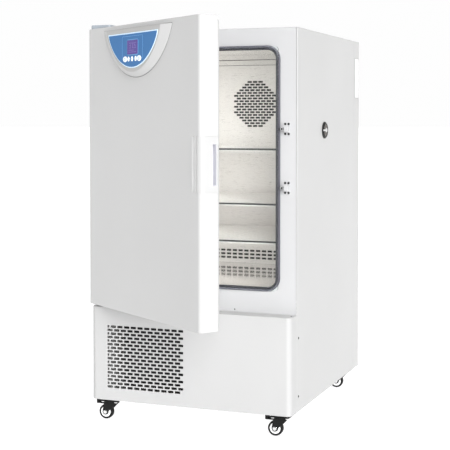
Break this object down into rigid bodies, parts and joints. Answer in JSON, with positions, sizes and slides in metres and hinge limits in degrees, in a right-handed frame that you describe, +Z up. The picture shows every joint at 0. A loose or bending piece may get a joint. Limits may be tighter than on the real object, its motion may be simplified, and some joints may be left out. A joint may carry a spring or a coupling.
{
  "type": "laboratory cooling incubator",
  "caption": "Upright laboratory cooling incubator on casters, with an insulated outer door and control panel, an inner glass door, shelves and a fan-driven duct panel.",
  "frame": {"origin": "floor level, under the middle of the outline with the outer door open 35 degrees", "axes": "+Z up, -Y out of the front, +X to the right seen from the front"},
  "size_m": [0.739, 1.2652, 1.3652],
  "materials": {
    "white_paint": "satin powder coat",
    "door_paint": "satin powder coat, warm grey",
    "stainless": "bright stainless sheet",
    "zinc_plate": "zinc plated",
    "seal_rubber": "matt silicone",
    "glass": "clear toughened glass",
    "white_plastic": "satin moulded",
    "bezel_plastic": "satin moulded",
    "grey_plastic": "matt moulded",
    "blue_membrane": "printed film",
    "purple_display": "lit display window",
    "button_white": "satin moulded",
    "black_plastic": "matt moulded",
    "black_steel": "black enamel",
    "tyre_rubber": "matt black",
    "mineral_wool": "wool slab",
    "aluminium": "plain",
    "label_silver": "satin, blank"
  },
  "bodies": {
    "cabinet": {"base_plate": "zinc_plate", "left_side_panel": "white_paint", "right_side_panel": "white_paint", "top_panel": "white_paint", "back_panel": "white_paint", "power_inlet": "black_plastic", "front_frame": "white_paint", "chamber_liner": "stainless", "cabinet_insulation": "mineral_wool", "chamber_gasket": "seal_rubber", "duct_panel": "stainless", "evaporator": "aluminium", "circulation_fan_motor": "zinc_plate", "condenser": "aluminium", "compressor": "black_steel", "electrical_box": "grey_plastic", "upper_shelf": "stainless", "middle_shelf": "stainless", "lower_shelf": "stainless", "left_shelf_rails": "stainless", "right_shelf_rails": "stainless", "lower_front_cover": "white_paint", "side_port": "black_plastic", "port_plug": "grey_plastic", "rating_plate": "label_silver", "upper_catch": "zinc_plate", "lower_catch": "zinc_plate", "upper_hinge_bracket": "zinc_plate", "hinge_cover": "white_plastic", "lower_hinge_bracket": "zinc_plate", "front_left_caster_plate": "black_steel", "front_right_caster_plate": "black_steel", "rear_left_caster_plate": "black_steel", "rear_right_caster_plate": "black_steel"},
    "door": {"door_skin": "door_paint", "door_liner": "white_plastic", "door_insulation": "mineral_wool", "door_gasket": "seal_rubber", "door_handle": "white_plastic", "handle_insert": "grey_plastic", "control_bezel": "bezel_plastic", "control_membrane": "blue_membrane", "display_window": "purple_display"},
    "glass_door": {"glass_door_pane": "glass", "glass_hinge_strip": "aluminium"},
    "button_1": {"button_1": "button_white"},
    "button_2": {"button_2": "button_white"},
    "button_3": {"button_3": "button_white"},
    "button_4": {"button_4": "button_white"},
    "button_5": {"button_5": "button_white"},
    "front_left_fork": {"front_left_caster_fork": "black_steel"},
    "front_left_wheel": {"front_left_caster_wheel": "tyre_rubber"},
    "front_right_fork": {"front_right_caster_fork": "black_steel"},
    "front_right_wheel": {"front_right_caster_wheel": "tyre_rubber"},
    "rear_left_fork": {"rear_left_caster_fork": "black_steel"},
    "rear_left_wheel": {"rear_left_caster_wheel": "tyre_rubber"},
    "rear_right_fork": {"rear_right_caster_fork": "black_steel"},
    "rear_right_wheel": {"rear_right_caster_wheel": "tyre_rubber"},
    "circulation_fan": {"circulation_fan": "black_plastic"},
    "condenser_fan": {"condenser_fan": "black_plastic"}
  },
  "joints": [
    {"name": "door_hinge", "type": "hinge", "parent": "cabinet", "child": "door", "pos_m": [-0.34179, -0.20536, 0.88], "axis": [0, 0, -1], "range_deg": [-35, 85]},
    {"name": "glass_door_hinge", "type": "hinge", "parent": "cabinet", "child": "glass_door", "pos_m": [-0.30679, -0.18836, 0.88], "axis": [0, 0, -1], "range_deg": [0, 30]},
    {"name": "button_1_press", "type": "slide", "parent": "door", "child": "button_1", "axis": [0.5736, 0.8192, 0], "range_m": [0, 0.001], "stiffness_N_per_m": 500},
    {"name": "button_2_press", "type": "slide", "parent": "door", "child": "button_2", "axis": [0.5736, 0.8192, 0], "range_m": [0, 0.001], "stiffness_N_per_m": 500},
    {"name": "button_3_press", "type": "slide", "parent": "door", "child": "button_3", "axis": [0.5736, 0.8192, 0], "range_m": [0, 0.001], "stiffness_N_per_m": 500},
    {"name": "button_4_press", "type": "slide", "parent": "door", "child": "button_4", "axis": [0.5736, 0.8192, 0], "range_m": [0, 0.001], "stiffness_N_per_m": 500},
    {"name": "button_5_press", "type": "slide", "parent": "door", "child": "button_5", "axis": [0.5736, 0.8192, 0], "range_m": [0, 0.001], "stiffness_N_per_m": 500},
    {"name": "front_left_swivel", "type": "hinge", "parent": "cabinet", "child": "front_left_fork", "pos_m": [-0.31179, -0.17536, 0.07], "axis": [0, 0, 1], "continuous": true},
    {"name": "front_left_roll", "type": "hinge", "parent": "front_left_fork", "child": "front_left_wheel", "pos_m": [-0.33379, -0.17536, 0.0255], "axis": [0, 1, 0], "continuous": true},
    {"name": "front_right_swivel", "type": "hinge", "parent": "cabinet", "child": "front_right_fork", "pos_m": [0.31021, -0.17536, 0.07], "axis": [0, 0, 1], "continuous": true},
    {"name": "front_right_roll", "type": "hinge", "parent": "front_right_fork", "child": "front_right_wheel", "pos_m": [0.28821, -0.17536, 0.0255], "axis": [0, 1, 0], "continuous": true},
    {"name": "rear_left_swivel", "type": "hinge", "parent": "cabinet", "child": "rear_left_fork", "pos_m": [-0.31179, 0.57364, 0.07], "axis": [0, 0, 1], "continuous": true},
    {"name": "rear_left_roll", "type": "hinge", "parent": "rear_left_fork", "child": "rear_left_wheel", "pos_m": [-0.33379, 0.57364, 0.0255], "axis": [0, 1, 0], "continuous": true},
    {"name": "rear_right_swivel", "type": "hinge", "parent": "cabinet", "child": "rear_right_fork", "pos_m": [0.31021, 0.57364, 0.07], "axis": [0, 0, 1], "continuous": true},
    {"name": "rear_right_roll", "type": "hinge", "parent": "rear_right_fork", "child": "rear_right_wheel", "pos_m": [0.28821, 0.57364, 0.0255], "axis": [0, 1, 0], "continuous": true},
    {"name": "circulation_fan_spin", "type": "hinge", "parent": "cabinet", "child": "circulation_fan", "pos_m": [-0.00079, 0.45564, 1.104], "axis": [0, 1, 0], "continuous": true},
    {"name": "condenser_fan_spin", "type": "hinge", "parent": "cabinet", "child": "condenser_fan", "pos_m": [-0.16079, -0.08636, 0.232], "axis": [0, 1, 0], "continuous": true}
  ]
}
